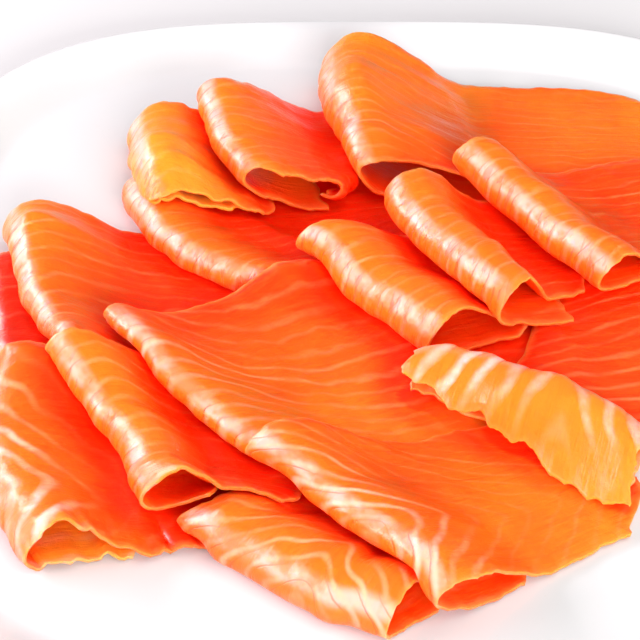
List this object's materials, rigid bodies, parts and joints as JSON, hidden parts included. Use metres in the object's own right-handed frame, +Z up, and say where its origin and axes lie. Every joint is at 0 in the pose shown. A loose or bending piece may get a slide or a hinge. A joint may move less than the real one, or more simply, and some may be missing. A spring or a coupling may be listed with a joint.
{
  "type": "smoked salmon slices on a platter",
  "caption": "Thin slices of smoked salmon, each folded over on itself, laid overlapping in a loose pile on a plain rounded platter.",
  "frame": {"origin": "under the middle of the platter, on the surface it stands on", "axes": "+Z up; -Y towards the side the pile is seen from; +X to the right from that side"},
  "size_m": [0.352, 0.344, 0.0481],
  "materials": {
    "salmon": "moist, glossy and slightly translucent, orange flesh with pale fat lines",
    "porcelain": "white glaze"
  },
  "bodies": {
    "root": {"platter": "porcelain", "slice_far_left": "salmon", "slice_front_left": "salmon", "slice_front": "salmon", "slice_left": "salmon", "slice_left_roll": "salmon", "slice_back_left_low": "salmon", "slice_centre": "salmon", "slice_front_centre": "salmon", "slice_right_flat": "salmon", "slice_back_left": "salmon", "slice_back_middle": "salmon", "slice_back_right": "salmon", "slice_middle_roll": "salmon", "slice_right_roll": "salmon", "slice_far_right_roll": "salmon", "slice_front_right": "salmon"}
  },
  "joints": []
}
